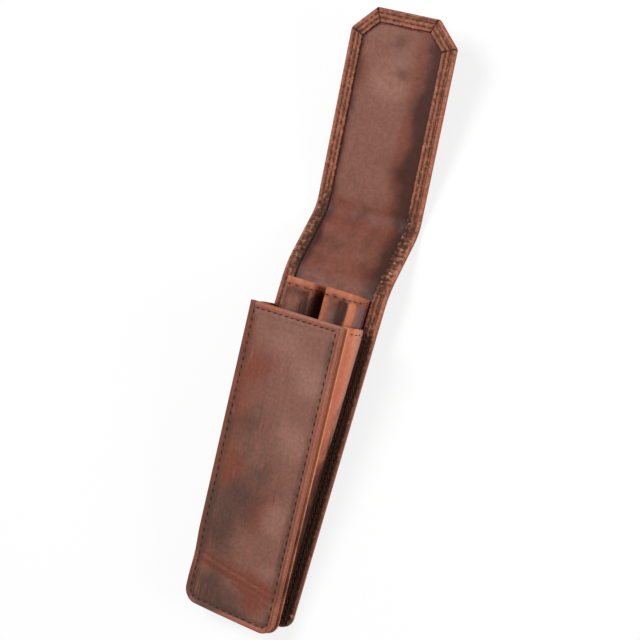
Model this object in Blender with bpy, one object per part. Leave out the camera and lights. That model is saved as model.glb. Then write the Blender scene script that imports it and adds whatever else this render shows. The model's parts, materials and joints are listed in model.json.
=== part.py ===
"""Double pen case in leather, lying open on its back.

Units are metres, +Z is up. X runs across the case, Y along it from the closed bottom end to
the tip of the flap. Each panel is built in its own frame: x across, y along, z through it.
The case frame's z = 0 is the outer face of the back. The spine frame and the flap frame have
their origins on their creases, level with the inner face of the leather.
"""

from math import asin, atan2, cos, pi, radians, sin, tan

import bmesh
import bpy
from mathutils import Matrix, Vector

# Outline sizes
CASE_WIDTH = 0.0500
BACK_LENGTH = 0.1480
SPINE_LENGTH = 0.0305
FLAP_LENGTH = 0.0888
FLAP_CHAMFER = 0.0105
BACK_CORNER = 0.0050
FRONT_WIDTH = 0.0446
FRONT_LENGTH = 0.1320
FRONT_CORNER = 0.0060
FRONT_OVERHANG = 0.0017
BOTTOM_DEPTH = 0.0129
MOUTH_DEPTH = 0.0290

# Bends at rest: the spine falls away from the back, the flap rises from the spine
SPINE_BEND = radians(-23.2)
FLAP_BEND = radians(34.0)

# Leather thicknesses, and the gap that the pieces keep to each other
GAP = 0.0003
SHELL = 0.0013
LINING = 0.0010
BORDER = 0.0016
FRONT_SHELL = 0.0018
FRONT_LINING = 0.0012
GUSSET = 0.0010
SLEEVE = 0.0010
EDGE_ROUND = 0.0004

# Border and seams
BORDER_WIDTH = 0.0060
OUTER_SEAM = 0.0021
INNER_SEAM = 0.0041
FRONT_SEAM = 0.0026
HEM_SEAM = 0.0022
HEM_END = 0.0015
THREAD_WIDTH = 0.0005
THREAD_HEIGHT = 0.00035
THREAD_PROUD = 0.00025

# Gusset: flanges at the front and at the back, and a wall that bulges outwards
FRONT_FLANGE = 0.0028
BACK_FLANGE = 0.0010
GUSSET_INSET = 0.0053
GUSSET_BULGE = 0.0022
GUSSET_TOP = 0.1303
GUSSET_CORNER = 0.0030

# Sleeves: two D-shaped channels on the back lining, narrower towards the bottom
SLEEVE_TOP = 0.1427
SLEEVE_BOTTOM = 0.0095
SLEEVE_HALF_TOP = 0.0080
SLEEVE_HALF_BOTTOM = 0.0070
SLEEVE_FLANGE = 0.0009
SLEEVE_SPACING = 0.0187
SLEEVE_DEPTH_TOP = 0.0135
SLEEVE_DEPTH_BOTTOM = 0.0050
SLEEVE_SQUARENESS = 0.62

# Hidden magnets of the closure
MAGNET_RADIUS = 0.0070
MAGNET_THICKNESS = 0.0008
MAGNET_FROM_TIP = 0.0240
MAGNET_SIDES = 24

ARC_STEPS = 4
ARCH_STEPS = 10
SIDE_STEPS = 3
SPARE = 0.0020
LEAST_RADIUS = 0.0002

THICKNESS = SHELL + GAP + BORDER
HALF_WIDTH = CASE_WIDTH / 2
FRONT_HALF = FRONT_WIDTH / 2
FRONT_SLOPE = asin((MOUTH_DEPTH - BOTTOM_DEPTH) / FRONT_LENGTH)
FRONT_STACK = FRONT_SHELL + GAP + FRONT_LINING
GROOVE_WIDTH = THREAD_WIDTH + 2 * GAP
GROOVE_DEPTH = THREAD_HEIGHT - THREAD_PROUD + GAP


def clear_scene():
    for obj in list(bpy.data.objects):
        bpy.data.objects.remove(obj, do_unlink=True)


def leather(name, colour, roughness, metallic=0.0):
    material = bpy.data.materials.new(name)
    material.use_nodes = True
    surface = material.node_tree.nodes["Principled BSDF"]
    surface.inputs["Base Color"].default_value = (*colour, 1.0)
    surface.inputs["Roughness"].default_value = roughness
    surface.inputs["Metallic"].default_value = metallic
    material.diffuse_color = (*colour, 1.0)
    return material


def frame(name, parent=None, location=(0, 0, 0), turn=0.0):
    """An empty that holds a body's pieces, turned about X."""
    empty = bpy.data.objects.new(name, None)
    bpy.context.scene.collection.objects.link(empty)
    empty.parent = parent
    empty.location = location
    empty.rotation_euler = (turn, 0, 0)
    return empty


def place(name, mesh_in_progress, parent, material=None):
    """Makes the bmesh an object of its own."""
    bmesh.ops.recalc_face_normals(mesh_in_progress, faces=mesh_in_progress.faces)
    mesh = bpy.data.meshes.new(name)
    mesh_in_progress.to_mesh(mesh)
    mesh_in_progress.free()
    obj = bpy.data.objects.new(name, mesh)
    bpy.context.scene.collection.objects.link(obj)
    obj.parent = parent
    if material:
        own = material.copy()
        own.name = name
        mesh.materials.append(own)
    else:
        obj.hide_render = True
        obj.display_type = "WIRE"
    return obj


def thicken(sheet, height):
    """Extrudes every face of a flat sheet straight up into one solid."""
    grown = bmesh.ops.extrude_face_region(sheet, geom=sheet.faces[:])
    moved = [item for item in grown["geom"] if isinstance(item, bmesh.types.BMVert)]
    bmesh.ops.translate(sheet, verts=moved, vec=(0, 0, height))


def cut_off(solid, point, normal):
    """Cuts away what lies past a plane and closes the cut."""
    geometry = solid.verts[:] + solid.edges[:] + solid.faces[:]
    bmesh.ops.bisect_plane(
        solid, geom=geometry, plane_co=point, plane_no=normal, clear_outer=True
    )
    rims = [edge for edge in solid.edges if edge.is_boundary]
    bmesh.ops.holes_fill(solid, edges=rims)


def end_cut(length, axis_height, bend):
    """The plane that ends a panel at the crease ahead of it."""
    normal = Vector((0, cos(bend / 2), sin(bend / 2)))
    return Vector((0, length, axis_height)) - normal * GAP / 2, normal


def start_cut(bend):
    """The plane that starts a panel at the crease behind it."""
    normal = Vector((0, -cos(bend / 2), sin(bend / 2)))
    return -normal * GAP / 2, normal


def inward(start, end):
    run = (end - start).normalized()
    return Vector((-run.y, run.x))


def inset_path(points, distance, radii=None, closed=False):
    """Moves a path to its left by the distance, with its round corners kept concentric."""
    points = [Vector(point) for point in points]
    radii = radii or [0.0] * len(points)
    count = len(points)
    path = []
    for i, here in enumerate(points):
        if not closed and i in (0, count - 1):
            side = inward(here, points[1]) if i == 0 else inward(points[i - 1], here)
            path.append(here + side * distance)
            continue
        before = inward(points[i - 1], here)
        after = inward(here, points[(i + 1) % count])
        reach = (before + after) / (1 + before.dot(after))
        if not radii[i]:
            path.append(here + reach * distance)
            continue
        radius = max(radii[i] - distance, LEAST_RADIUS)
        centre = here + reach * (distance + radius)
        first = atan2(-before.y, -before.x)
        sweep = before.angle_signed(after)
        for step in range(ARC_STEPS + 1):
            angle = first - sweep * step / ARC_STEPS
            path.append(centre + radius * Vector((cos(angle), sin(angle))))
    return path


def plate(outline, low, high, cuts=()):
    """A flat piece between two heights, cut off at its creases."""
    solid = bmesh.new()
    solid.faces.new([solid.verts.new((x, y, low)) for x, y in outline])
    thicken(solid, high - low)
    for point, normal in cuts:
        cut_off(solid, point, normal)
    return solid


def add_band(solid, near, far, low, high, closed=False):
    """A strip between two paths with as many points each."""
    sheet = bmesh.new()
    rows = [[sheet.verts.new((x, y, low)) for x, y in path] for path in (near, far)]
    count = len(near)
    for i in range(count if closed else count - 1):
        j = (i + 1) % count
        sheet.faces.new((rows[0][i], rows[0][j], rows[1][j], rows[1][i]))
    thicken(sheet, high - low)
    mesh = bpy.data.meshes.new("band")
    sheet.to_mesh(mesh)
    sheet.free()
    solid.from_mesh(mesh)
    bpy.data.meshes.remove(mesh)


def seam_band(solid, points, distance, width, low, high, radii=None, closed=False):
    near = inset_path(points, distance - width / 2, radii, closed)
    far = inset_path(points, distance + width / 2, radii, closed)
    add_band(solid, near, far, low, high, closed)


def thread(name, parent, points, distance, top, cuts=(), radii=None, closed=False):
    """A row of stitching, standing a little proud of the leather."""
    solid = bmesh.new()
    high = top + THREAD_PROUD
    low = high - THREAD_HEIGHT
    seam_band(solid, points, distance, THREAD_WIDTH, low, high, radii, closed)
    for point, normal in cuts:
        cut_off(solid, point, normal)
    return place(name, solid, parent, THREAD)


def groove_cutter(name, parent, points, distances, top, radii=None, closed=False):
    """What is cut from the leather under one or more rows of stitching."""
    solid = bmesh.new()
    for distance in distances:
        low = top - GROOVE_DEPTH
        high = top + SPARE
        seam_band(solid, points, distance, GROOVE_WIDTH, low, high, radii, closed)
    return place(name, solid, parent)


def subtract(obj, cutter):
    modifier = obj.modifiers.new("cut " + cutter.name, "BOOLEAN")
    modifier.operation = "DIFFERENCE"
    modifier.object = cutter


def round_edges(obj, width):
    modifier = obj.modifiers.new("round edges", "BEVEL")
    modifier.width = width
    modifier.segments = 2
    modifier.limit_method = "ANGLE"
    modifier.angle_limit = radians(40)


def border_strips(points, width, radii=None):
    """One outline for each run of the border, mitred where two runs meet."""
    points = [Vector(point) for point in points]
    radii = radii or [0.0] * len(points)
    inner = inset_path(points, width)
    strips = []
    for i in range(len(points) - 1):
        start, end = points[i], points[i + 1]
        run = (end - start).normalized()
        outline = []
        for corner, at_start in ((i, True), (i + 1, False)):
            mitred = 0 < corner < len(points) - 1
            across = (points[corner] - inner[corner]).normalized()
            shift = GAP / 2 / abs(across.cross(run)) if mitred else 0.0
            slide = run * shift if at_start else -run * shift
            outer = [points[corner] + slide]
            if radii[corner]:
                outer = [point + slide for point in half_corner(points, radii, corner, at_start)]
            inside = [inner[corner] + slide]
            outline += inside + outer if at_start else outer + inside
        strips.append(outline)
    return strips


def half_corner(points, radii, corner, leaving):
    """The half of a round corner that belongs to the run before it or after it."""
    before = inward(points[corner - 1], points[corner])
    after = inward(points[corner], points[corner + 1])
    reach = (before + after) / (1 + before.dot(after))
    radius = radii[corner]
    centre = points[corner] + reach * radius
    first = atan2(-before.y, -before.x)
    sweep = before.angle_signed(after)
    half = ARC_STEPS // 2
    steps = range(half, ARC_STEPS + 1) if leaving else range(half + 1)
    angles = [first - sweep * step / ARC_STEPS for step in steps]
    return [centre + radius * Vector((cos(angle), sin(angle))) for angle in angles]


def disc(name, parent, centre, radius, low, high, material=None):
    solid = bmesh.new()
    bmesh.ops.create_cone(
        solid,
        cap_ends=True,
        segments=MAGNET_SIDES,
        radius1=radius,
        radius2=radius,
        depth=high - low,
        matrix=Matrix.Translation((*centre, (low + high) / 2)),
    )
    return place(name, solid, parent, material)


def loft(name, parent, stations, thickness, material):
    """A leather strip through rows of points, given its thickness about its middle."""
    sheet = bmesh.new()
    rows = [[sheet.verts.new(point) for point in station] for station in stations]
    for first, second in zip(rows, rows[1:]):
        for i in range(len(first) - 1):
            sheet.faces.new((first[i], first[i + 1], second[i + 1], second[i]))
    obj = place(name, sheet, parent, material)
    modifier = obj.modifiers.new("leather", "SOLIDIFY")
    modifier.thickness = thickness
    modifier.offset = 0.0
    modifier.use_even_offset = True
    return obj


def back_chain(overrun):
    end = BACK_LENGTH + overrun
    return [(-HALF_WIDTH, end), (-HALF_WIDTH, 0), (HALF_WIDTH, 0), (HALF_WIDTH, end)]


def flap_chain(overrun):
    shoulder = FLAP_LENGTH - FLAP_CHAMFER
    tip = HALF_WIDTH - FLAP_CHAMFER
    right = [(HALF_WIDTH, -overrun), (HALF_WIDTH, shoulder), (tip, FLAP_LENGTH)]
    return right + [(-x, y) for x, y in reversed(right)]


def front_outline():
    top = [(FRONT_HALF, FRONT_LENGTH), (-FRONT_HALF, FRONT_LENGTH)]
    return top + [(-FRONT_HALF, 0), (FRONT_HALF, 0)]


FRONT_RADII = [0, 0, FRONT_CORNER, FRONT_CORNER]
BACK_RADII = [0, BACK_CORNER, BACK_CORNER, 0]


def back_pieces(case):
    cuts = [end_cut(BACK_LENGTH, THICKNESS, SPINE_BEND)]
    chain = back_chain(SPARE)
    outline = inset_path(chain, 0, BACK_RADII)
    shell = place("back_shell", plate(outline, 0, SHELL, cuts), case, OUTER)
    round_edges(shell, EDGE_ROUND)

    low = SHELL + GAP
    outline = inset_path(chain, BORDER_WIDTH + GAP)
    place("back_lining", plate(outline, low, low + LINING, cuts), case, INNER)

    rows = groove_cutter(
        "back_grooves", case, chain, (OUTER_SEAM, INNER_SEAM), THICKNESS, BACK_RADII
    )
    names = ("back_border_left", "back_border_bottom", "back_border_right")
    for name, outline in zip(names, border_strips(chain, BORDER_WIDTH, BACK_RADII)):
        strip = place(name, plate(outline, low, THICKNESS, cuts), case, EDGING)
        subtract(strip, rows)
    for name, distance in (("back_seam_outer", OUTER_SEAM), ("back_seam_inner", INNER_SEAM)):
        thread(name, case, chain, distance, THICKNESS, cuts, BACK_RADII)


def spine_pieces(spine):
    cuts = [start_cut(SPINE_BEND), end_cut(SPINE_LENGTH, 0, FLAP_BEND)]
    start, end = -SPARE, SPINE_LENGTH + SPARE
    inner = HALF_WIDTH - BORDER_WIDTH
    outline = rectangle(-HALF_WIDTH, HALF_WIDTH, start, end)
    shell = place("spine_shell", plate(outline, -THICKNESS, SHELL - THICKNESS, cuts), spine, OUTER)
    round_edges(shell, EDGE_ROUND)

    low = SHELL + GAP - THICKNESS
    outline = rectangle(GAP - inner, inner - GAP, start, end)
    place("spine_lining", plate(outline, low, low + LINING, cuts), spine, INNER)

    for side, sign in (("left", -1), ("right", 1)):
        edge = [(sign * HALF_WIDTH, start), (sign * HALF_WIDTH, end)]
        if sign < 0:
            edge.reverse()
        rows = groove_cutter(f"spine_grooves_{side}", spine, edge, (OUTER_SEAM, INNER_SEAM), 0)
        across = sorted((sign * inner, sign * HALF_WIDTH))
        outline = rectangle(*across, start, end)
        strip = place(f"spine_border_{side}", plate(outline, low, 0, cuts), spine, EDGING)
        subtract(strip, rows)
        for row, distance in (("outer", OUTER_SEAM), ("inner", INNER_SEAM)):
            thread(f"spine_seam_{side}_{row}", spine, edge, distance, 0, cuts)


def flap_pieces(flap):
    cuts = [start_cut(FLAP_BEND)]
    chain = flap_chain(SPARE)
    magnet = (0, FLAP_LENGTH - MAGNET_FROM_TIP)
    middle = SHELL + GAP / 2 - THICKNESS
    pocket = disc(
        "flap_magnet_pocket",
        flap,
        magnet,
        MAGNET_RADIUS + GAP,
        middle - MAGNET_THICKNESS / 2 - GAP,
        middle + MAGNET_THICKNESS / 2 + GAP,
    )
    disc(
        "flap_magnet",
        flap,
        magnet,
        MAGNET_RADIUS,
        middle - MAGNET_THICKNESS / 2,
        middle + MAGNET_THICKNESS / 2,
        STEEL,
    )
    shell = place("flap_shell", plate(chain, -THICKNESS, SHELL - THICKNESS, cuts), flap, OUTER)
    round_edges(shell, EDGE_ROUND)
    subtract(shell, pocket)

    low = SHELL + GAP - THICKNESS
    outline = inset_path(chain, BORDER_WIDTH + GAP)
    lining = place("flap_lining", plate(outline, low, low + LINING, cuts), flap, INNER)
    subtract(lining, pocket)

    rows = groove_cutter("flap_grooves", flap, chain, (OUTER_SEAM, INNER_SEAM), 0)
    runs = ("right", "right_corner", "tip", "left_corner", "left")
    for run, outline in zip(runs, border_strips(chain, BORDER_WIDTH)):
        strip = place(f"flap_border_{run}", plate(outline, low, 0, cuts), flap, EDGING)
        subtract(strip, rows)
    for row, distance in (("outer", OUTER_SEAM), ("inner", INNER_SEAM)):
        thread(f"flap_seam_{row}", flap, chain, distance, 0, cuts)


def rectangle(left, right, start, end):
    return [(left, start), (right, start), (right, end), (left, end)]


def front_pieces(front):
    outline = front_outline()
    magnet = (0, BACK_LENGTH + FRONT_OVERHANG - FLAP_LENGTH + MAGNET_FROM_TIP)
    middle = -FRONT_SHELL - GAP / 2
    pocket = disc(
        "front_magnet_pocket",
        front,
        magnet,
        MAGNET_RADIUS + GAP,
        middle - MAGNET_THICKNESS / 2 - GAP,
        middle + MAGNET_THICKNESS / 2 + GAP,
    )
    disc(
        "front_magnet",
        front,
        magnet,
        MAGNET_RADIUS,
        middle - MAGNET_THICKNESS / 2,
        middle + MAGNET_THICKNESS / 2,
        STEEL,
    )
    face = inset_path(outline, 0, FRONT_RADII, closed=True)
    panel = place("front_panel", plate(face, -FRONT_SHELL, 0), front, OUTER)
    round_edges(panel, EDGE_ROUND)
    subtract(panel, pocket)
    row = groove_cutter(
        "front_groove", front, outline, (FRONT_SEAM,), 0, FRONT_RADII, closed=True
    )
    subtract(panel, row)
    thread("front_seam", front, outline, FRONT_SEAM, 0, (), FRONT_RADII, closed=True)

    face = inset_path(outline, GAP, FRONT_RADII, closed=True)
    high = -FRONT_SHELL - GAP
    lining = place("front_lining", plate(face, high - FRONT_LINING, high), front, INNER)
    subtract(lining, pocket)


def u_path(half, bottom, top, radius):
    """Stations down the right side, round the bottom and up the left side."""
    centre = half - radius
    run = (top - bottom - radius) / SIDE_STEPS
    side = [(half, top - run * step) for step in range(SIDE_STEPS)]
    angles = [-pi / 2 * step / ARC_STEPS for step in range(ARC_STEPS + 1)]
    corner = [
        (centre + radius * cos(angle), bottom + radius + radius * sin(angle)) for angle in angles
    ]
    right = side + corner
    return right + [(-x, y) for x, y in reversed(right)]


def gusset_rows():
    """The strip's lengthwise lines, from its front flange to its back flange."""
    to_case = Matrix.Translation((0, -FRONT_OVERHANG, BOTTOM_DEPTH))
    to_case = to_case @ Matrix.Rotation(FRONT_SLOPE, 4, "X")
    front_level = -FRONT_STACK - GAP - GUSSET / 2
    back_level = THICKNESS + GAP + GUSSET / 2
    foot_half = HALF_WIDTH - GUSSET_INSET

    def at_front(inset):
        path = u_path(
            FRONT_HALF - inset,
            inset,
            FRONT_LENGTH - GAP,
            max(FRONT_CORNER - inset, LEAST_RADIUS),
        )
        return [to_case @ Vector((x, y, front_level)) for x, y in path]

    def at_back(inset):
        radius = max(GUSSET_CORNER - inset, LEAST_RADIUS)
        path = u_path(foot_half - inset, GUSSET_INSET + inset, GUSSET_TOP, radius)
        return [Vector((x, y, back_level)) for x, y in path]

    def half_way(bulge):
        outer = zip(at_front(FRONT_FLANGE - bulge), at_back(-bulge))
        return [(front + back) / 2 for front, back in outer]

    wall = [at_front(FRONT_FLANGE), half_way(GUSSET_BULGE), at_back(0)]
    return [at_front(0), *wall, at_back(BACK_FLANGE)]


def gusset_pieces(case):
    """The folding strip that joins the front to the back along both sides and the bottom."""
    rows = gusset_rows()
    loft("gusset", case, list(zip(*rows)), GUSSET, SIDE)
    clear = GUSSET / 2 + GAP + THREAD_HEIGHT / 2
    for side, sign in (("right", 1), ("left", -1)):
        wall = [row[::sign] for row in rows[1:-1]]
        edge = [row[0] for row in wall]
        lean = max(asin(abs(a.x - b.x) / (a - b).length) for a, b in zip(edge, edge[1:]))
        aside = Vector((sign * clear / cos(lean), 0, 0))
        lines = []
        for drop in (HEM_SEAM - THREAD_WIDTH / 2, HEM_SEAM + THREAD_WIDTH / 2):
            line = [row[0] + (row[1] - row[0]).normalized() * drop + aside for row in wall]
            line[0] = line[0] + (line[1] - line[0]).normalized() * HEM_END
            line[-1] = line[-1] + (line[-2] - line[-1]).normalized() * HEM_END
            lines.append(line)
        loft(f"gusset_hem_{side}", case, lines, THREAD_HEIGHT, THREAD)


def sleeve_arch(centre, along, grown=0.0):
    """The D-shaped line across one channel, at a distance from the bottom."""
    part = (along - SLEEVE_BOTTOM) / (SLEEVE_TOP - SLEEVE_BOTTOM)
    depth = SLEEVE_DEPTH_BOTTOM + (SLEEVE_DEPTH_TOP - SLEEVE_DEPTH_BOTTOM) * part
    rise = depth + SLEEVE / 2 + grown
    half = SLEEVE_HALF_BOTTOM + (SLEEVE_HALF_TOP - SLEEVE_HALF_BOTTOM) * part + grown
    floor = SHELL + GAP + LINING + GAP + SLEEVE / 2
    row = []
    for step in range(ARCH_STEPS + 1):
        angle = pi * step / ARCH_STEPS
        swing = abs(cos(angle)) ** SLEEVE_SQUARENESS * (1 if angle > pi / 2 else -1)
        height = abs(sin(angle)) ** SLEEVE_SQUARENESS
        row.append(Vector((centre + half * swing, along, floor + rise * height)))
    return row


def sleeve_pieces(case):
    """The two channels that hold one pen each."""
    edge = Vector((SLEEVE_FLANGE, 0, 0))
    clear = SLEEVE / 2 + GAP + THREAD_HEIGHT / 2
    for side, sign in (("left", -1), ("right", 1)):
        centre = sign * SLEEVE_SPACING / 2
        stations = []
        for along in (SLEEVE_BOTTOM, SLEEVE_TOP):
            arch = sleeve_arch(centre, along)
            stations.append([arch[0] - edge, *arch, arch[-1] + edge])
        loft(f"sleeve_{side}", case, stations, SLEEVE, POCKET)
        lines = []
        for drop in (HEM_SEAM - THREAD_WIDTH / 2, HEM_SEAM + THREAD_WIDTH / 2):
            line = sleeve_arch(centre, SLEEVE_TOP - drop, clear)
            line[0].z += HEM_END
            line[-1].z += HEM_END
            lines.append(line)
        loft(f"sleeve_hem_{side}", case, lines, THREAD_HEIGHT, THREAD)


def lie_on_table(root):
    """Centres the model on X and Y, and stands its lowest point on Z = 0."""
    bpy.context.view_layer.update()
    graph = bpy.context.evaluated_depsgraph_get()
    corners = []
    for obj in bpy.data.objects:
        if obj.type == "MESH" and not obj.hide_render:
            evaluated = obj.evaluated_get(graph)
            mesh = evaluated.to_mesh()
            corners += [evaluated.matrix_world @ vertex.co for vertex in mesh.vertices]
            evaluated.to_mesh_clear()
    along = [corner.y for corner in corners]
    root.location.y = -(min(along) + max(along)) / 2
    root.location.z = -min(corner.z for corner in corners)
    bpy.context.view_layer.update()


def table_tilt():
    """How far the back leans up so that its bottom edge and the second crease both touch."""
    corner = Vector((BACK_LENGTH, THICKNESS))
    along = Vector((cos(SPINE_BEND), sin(SPINE_BEND)))
    through = Vector((sin(SPINE_BEND), -cos(SPINE_BEND)))
    corner += along * (SPINE_LENGTH + THICKNESS * tan(FLAP_BEND / 2)) + through * THICKNESS
    return atan2(-corner.y, corner.x)


clear_scene()
OUTER = leather("outer leather", (0.20, 0.085, 0.055), 0.5)
INNER = leather("lining leather", (0.18, 0.075, 0.055), 0.45)
EDGING = leather("border leather", (0.26, 0.10, 0.055), 0.6)
SIDE = leather("gusset leather", (0.30, 0.12, 0.06), 0.5)
POCKET = leather("sleeve leather", (0.27, 0.11, 0.065), 0.45)
THREAD = leather("thread", (0.03, 0.018, 0.014), 0.8)
STEEL = leather("magnet", (0.55, 0.55, 0.56), 0.35, 1.0)

rest = frame("rest_frame")
case_frame = frame("case_frame", rest, turn=table_tilt())
spine_frame = frame("spine_frame", case_frame, (0, BACK_LENGTH, THICKNESS), SPINE_BEND)
flap_frame = frame("flap_frame", spine_frame, (0, SPINE_LENGTH, 0), FLAP_BEND)
front_frame = frame("front_frame", case_frame, (0, -FRONT_OVERHANG, BOTTOM_DEPTH), FRONT_SLOPE)

back_pieces(case_frame)
spine_pieces(spine_frame)
flap_pieces(flap_frame)
front_pieces(front_frame)
gusset_pieces(case_frame)
sleeve_pieces(case_frame)
lie_on_table(rest)
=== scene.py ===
"""The looks of the double pen case: waxed leather panels, stitched borders, gusset and sleeves.

Panels, borders, the front and their stitches are laid flat first: x across, y along, z through
the leather. Their details are formed there, and then each one is carried to where it lies.
The gusset and the sleeves are given by formulas in place.
"""

import json
from math import atan2, ceil, cos, pi, radians, sin, tan

import bmesh
import bpy
from mathutils import Matrix, Vector, noise


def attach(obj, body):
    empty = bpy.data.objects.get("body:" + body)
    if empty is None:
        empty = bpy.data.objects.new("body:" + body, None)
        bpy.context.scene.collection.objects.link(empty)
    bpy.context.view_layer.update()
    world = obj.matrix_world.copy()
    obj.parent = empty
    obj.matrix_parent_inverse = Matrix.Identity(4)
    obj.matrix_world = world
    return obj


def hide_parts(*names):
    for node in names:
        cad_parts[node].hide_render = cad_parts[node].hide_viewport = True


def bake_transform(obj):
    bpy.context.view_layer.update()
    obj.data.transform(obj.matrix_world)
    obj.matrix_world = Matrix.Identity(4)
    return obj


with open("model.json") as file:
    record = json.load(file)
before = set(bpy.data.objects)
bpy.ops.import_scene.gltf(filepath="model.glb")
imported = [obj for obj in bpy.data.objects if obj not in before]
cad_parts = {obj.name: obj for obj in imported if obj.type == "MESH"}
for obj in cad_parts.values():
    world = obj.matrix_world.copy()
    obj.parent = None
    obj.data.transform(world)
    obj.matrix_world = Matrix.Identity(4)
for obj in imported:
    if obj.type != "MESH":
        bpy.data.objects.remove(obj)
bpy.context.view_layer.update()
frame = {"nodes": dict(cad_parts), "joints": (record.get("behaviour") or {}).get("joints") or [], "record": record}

MM = 0.001

# Sizes of the case, in metres, as the solids have them
HALF_WIDTH = 0.0250
BACK_LENGTH = 0.1480
SPINE_LENGTH = 0.0305
FLAP_LENGTH = 0.0888
FLAP_CHAMFER = 0.0105
BACK_CORNER = 0.0050
FRONT_HALF = 0.0223
FRONT_LENGTH = 0.1320
FRONT_CORNER = 0.0060
FRONT_OVERHANG = 0.0017
BOTTOM_DEPTH = 0.0129
FRONT_SLOPE = radians(7.01)
FLAP_BEND = radians(34.0)

# Thicknesses, and levels over the borders' inner face, or on the front over its outer face
THICKNESS = 0.0032
SHELL = 0.0013
LINING = 0.0010
FRONT_SHELL = 0.0018
FRONT_LINING = 0.0012
GUSSET = 0.0010
SLEEVE = 0.0010
GAP = 0.0003
FACE = -THICKNESS
LINING_FOOT = FACE + SHELL + GAP
LINING_TOP = LINING_FOOT + LINING
FRONT_LOW = -FRONT_SHELL - GAP - FRONT_LINING

# Border and rows of stitching, from the edge inwards
BORDER_WIDTH = 0.0060
BORDER_ROWS = (0.0021, 0.0041)
FRONT_ROW = 0.0026
BORDER_PITCH = 0.0029
FRONT_PITCH = 0.0034
MOUTH_PITCH = 0.0028
HEM_PITCH = 0.0032
HEM_DROP = 0.0024
LINING_HALF = HALF_WIDTH - BORDER_WIDTH

# Creases: half the length that each one is rounded over, and half the length that folds
SPINE_REACH = 0.0070
FLAP_REACH = 0.0045

# Places along the unrolled case
SPLIT = BACK_LENGTH + SPINE_LENGTH / 2
FLAP_CREASE = BACK_LENGTH + SPINE_LENGTH
SHOULDER = FLAP_CREASE + FLAP_LENGTH - FLAP_CHAMFER
TIP = FLAP_CREASE + FLAP_LENGTH

# Magnets of the closure
MAGNET_FROM_TIP = 0.0240
FLAP_MAGNET = TIP - MAGNET_FROM_TIP
FRONT_MAGNET = BACK_LENGTH + FRONT_OVERHANG - FLAP_LENGTH + MAGNET_FROM_TIP
MAGNET_REACH = 0.0105
MAGNET_ROOM = 0.0008

# Gusset; its folds are shares of its width
FLANGE = 0.0028
FOOT_FLANGE = 0.0010
GUSSET_FOOT = 0.0197
FOOT_INSET = 0.0053
FOOT_CORNER = 0.0030
GUSSET_TOP = 0.1303
GUSSET_BULGE = 0.0024
GUSSET_PROUD = 0.4 * MM
GUSSET_FOLDS = (0.14, 0.95)
GUSSET_LEVEL = FRONT_LOW - GAP - GUSSET / 2
GUSSET_LENGTH = 0.29
GUSSET_WIDTH = 0.026
TIGHTEST_TURN = 0.3 * MM

# Sleeves
SLEEVE_TOP = 0.1427
SLEEVE_BOTTOM = 0.0095
SLEEVE_HALF_TOP = 0.0080
SLEEVE_HALF_BOTTOM = 0.0070
SLEEVE_DEPTH_TOP = 0.0135
SLEEVE_DEPTH_BOTTOM = 0.0050
SLEEVE_SPACING = 0.0187
SLEEVE_FLANGE = 0.0009
SLEEVE_SQUARENESS = 0.62
SLEEVE_LENGTH = SLEEVE_TOP - SLEEVE_BOTTOM
SLEEVE_WIDTH = 0.032

# Cells that leather is cut in, and radii of its rims; a radius stays smaller than its cell
CELL = 0.0010
STRIP_CELL = 0.00045
FRONT_CELL = 0.6 * MM
EDGE_ROUND = 0.45 * MM
FRONT_ROUND = 0.5 * MM
LINED_ROUND = 0.35 * MM

# Where the case lies, worked out from its joints and its resting face
hinges = {joint["name"]: Vector(joint["pos_m"]) for joint in frame["joints"]}
SPINE_HINGE = hinges["spine_hinge"]
FLAP_HINGE = hinges["flap_hinge"]
rest_axis = Vector(frame["record"]["mounts"][0]["axis"])
BACK_TILT = atan2(rest_axis.y, -rest_axis.z)
SPINE_TILT = atan2(FLAP_HINGE.z - SPINE_HINGE.z, FLAP_HINGE.y - SPINE_HINGE.y)
FLAP_TILT = SPINE_TILT + FLAP_BEND
FRONT_TILT = BACK_TILT + FRONT_SLOPE


def heading(tilt):
    """Along a panel that is tilted about X."""
    return Vector((0, cos(tilt), sin(tilt)))


def upward(tilt):
    """Out of a panel's inner face."""
    return Vector((0, -sin(tilt), cos(tilt)))


CREASES = (
    (BACK_LENGTH, SPINE_REACH, SPINE_HINGE, BACK_TILT, SPINE_TILT),
    (FLAP_CREASE, FLAP_REACH, FLAP_HINGE, SPINE_TILT, FLAP_TILT),
)
BACK_FOOT = SPINE_HINGE - heading(BACK_TILT) * BACK_LENGTH - upward(BACK_TILT) * THICKNESS
FRONT_FOOT = BACK_FOOT + upward(BACK_TILT) * BOTTOM_DEPTH - heading(BACK_TILT) * FRONT_OVERHANG


def fold(point):
    """Carries an unrolled point to its place, round both creases."""
    along = point.y
    base, tilt = SPINE_HINGE + heading(BACK_TILT) * (along - BACK_LENGTH), BACK_TILT
    for place, reach, hinge, before, after in CREASES:
        if along >= place + reach:
            base, tilt = hinge + heading(after) * (along - place), after
        elif along > place - reach:
            turn = after - before
            radius = reach / tan(turn / 2)
            tilt = before + turn * ((along - place) / reach + 1) / 2
            centre = hinge - heading(before) * reach + upward(before) * radius
            base = centre - upward(tilt) * radius
    return base + Vector((point.x, 0, 0)) + upward(tilt) * point.z


def onto_front(point):
    """Carries a point of the flat front to its place."""
    place = FRONT_FOOT + heading(FRONT_TILT) * point.y + upward(FRONT_TILT) * point.z
    return place + Vector((point.x, 0, 0))


# Measures that the relief and the tones are made of


def smooth(value, low, high):
    """Runs from 0 to 1 between two values, level at both ends."""
    part = min(max((value - low) / (high - low), 0.0), 1.0)
    return part * part * (3 - 2 * part)


def hump(offset, width):
    """1 at no offset, 0 from the width on."""
    return 1 - smooth(abs(offset), 0, width)


def between(start, end, share):
    return start + (end - start) * share


def from_magnet(co, magnet):
    return Vector((co.x, co.y - magnet)).length


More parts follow.
